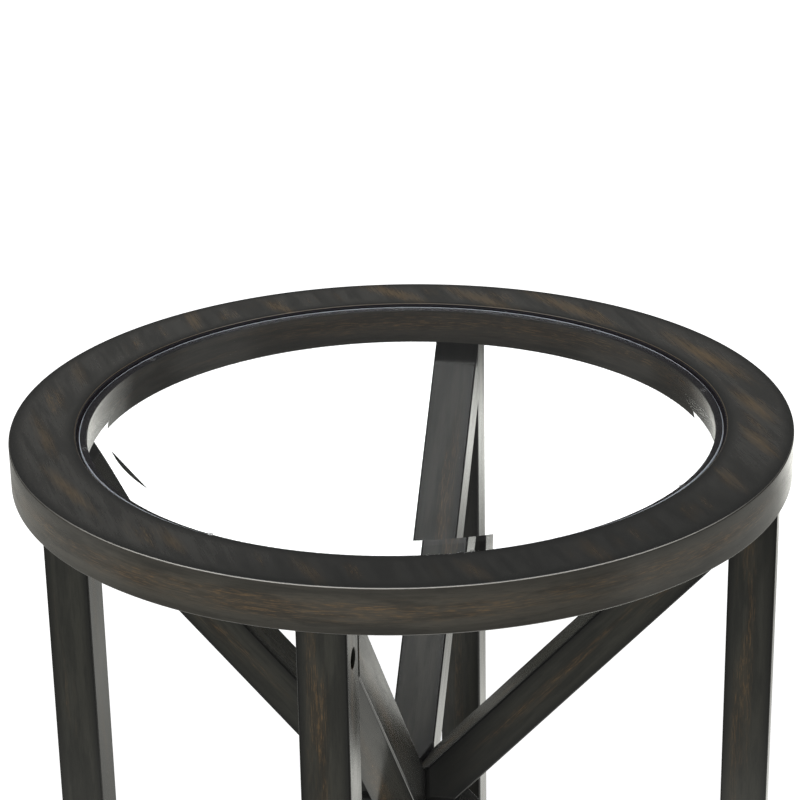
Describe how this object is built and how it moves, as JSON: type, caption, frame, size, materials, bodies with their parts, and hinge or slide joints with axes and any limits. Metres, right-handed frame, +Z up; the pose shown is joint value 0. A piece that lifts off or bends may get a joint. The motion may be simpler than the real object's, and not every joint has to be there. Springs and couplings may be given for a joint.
{
  "type": "round side table",
  "caption": "Round side table: a dark-stained wooden ring holds a lift-out bevelled glass top on square legs, stiffened by diagonal braces that cross in a mitred hub.",
  "frame": {"origin": "centre of the base at floor level", "axes": "+Z up; -Y through the front leg; +X through the right leg"},
  "size_m": [0.61, 0.61, 0.6363],
  "materials": {
    "stained_wood": "near-black espresso stain, satin lacquer, brown rub-through along the grain",
    "clear_glass": "clear polished, ground bevel",
    "clear_pad": "clear soft vinyl",
    "zinc": "die-cast zinc, dull",
    "beech": "bare fluted beech",
    "nylon": "moulded, dark brown",
    "steel": "bright drawn wire"
  },
  "bodies": {
    "table_frame": {"top_ring": "stained_wood", "leg_front": "stained_wood", "leg_right": "stained_wood", "leg_back": "stained_wood", "leg_left": "stained_wood", "upper_brace_front": "stained_wood", "upper_brace_right": "stained_wood", "upper_brace_back": "stained_wood", "upper_brace_left": "stained_wood", "lower_brace_front": "stained_wood", "lower_brace_right": "stained_wood", "lower_brace_back": "stained_wood", "lower_brace_left": "stained_wood", "ring_dowels": "beech", "upper_brace_dowels": "beech", "lower_brace_dowels": "beech", "seam_dowels": "beech", "hub_dowels": "beech", "glass_pads": "clear_pad", "cam_locks": "zinc", "cam_bolts": "zinc", "floor_glides": "nylon", "glide_nails": "steel"},
    "glass": {"glass_panel": "clear_glass"}
  },
  "joints": [
    {"name": "glass_lift", "type": "slide", "parent": "table_frame", "child": "glass", "axis": [0, 0, 1], "range_m": [0, 0.12]}
  ]
}
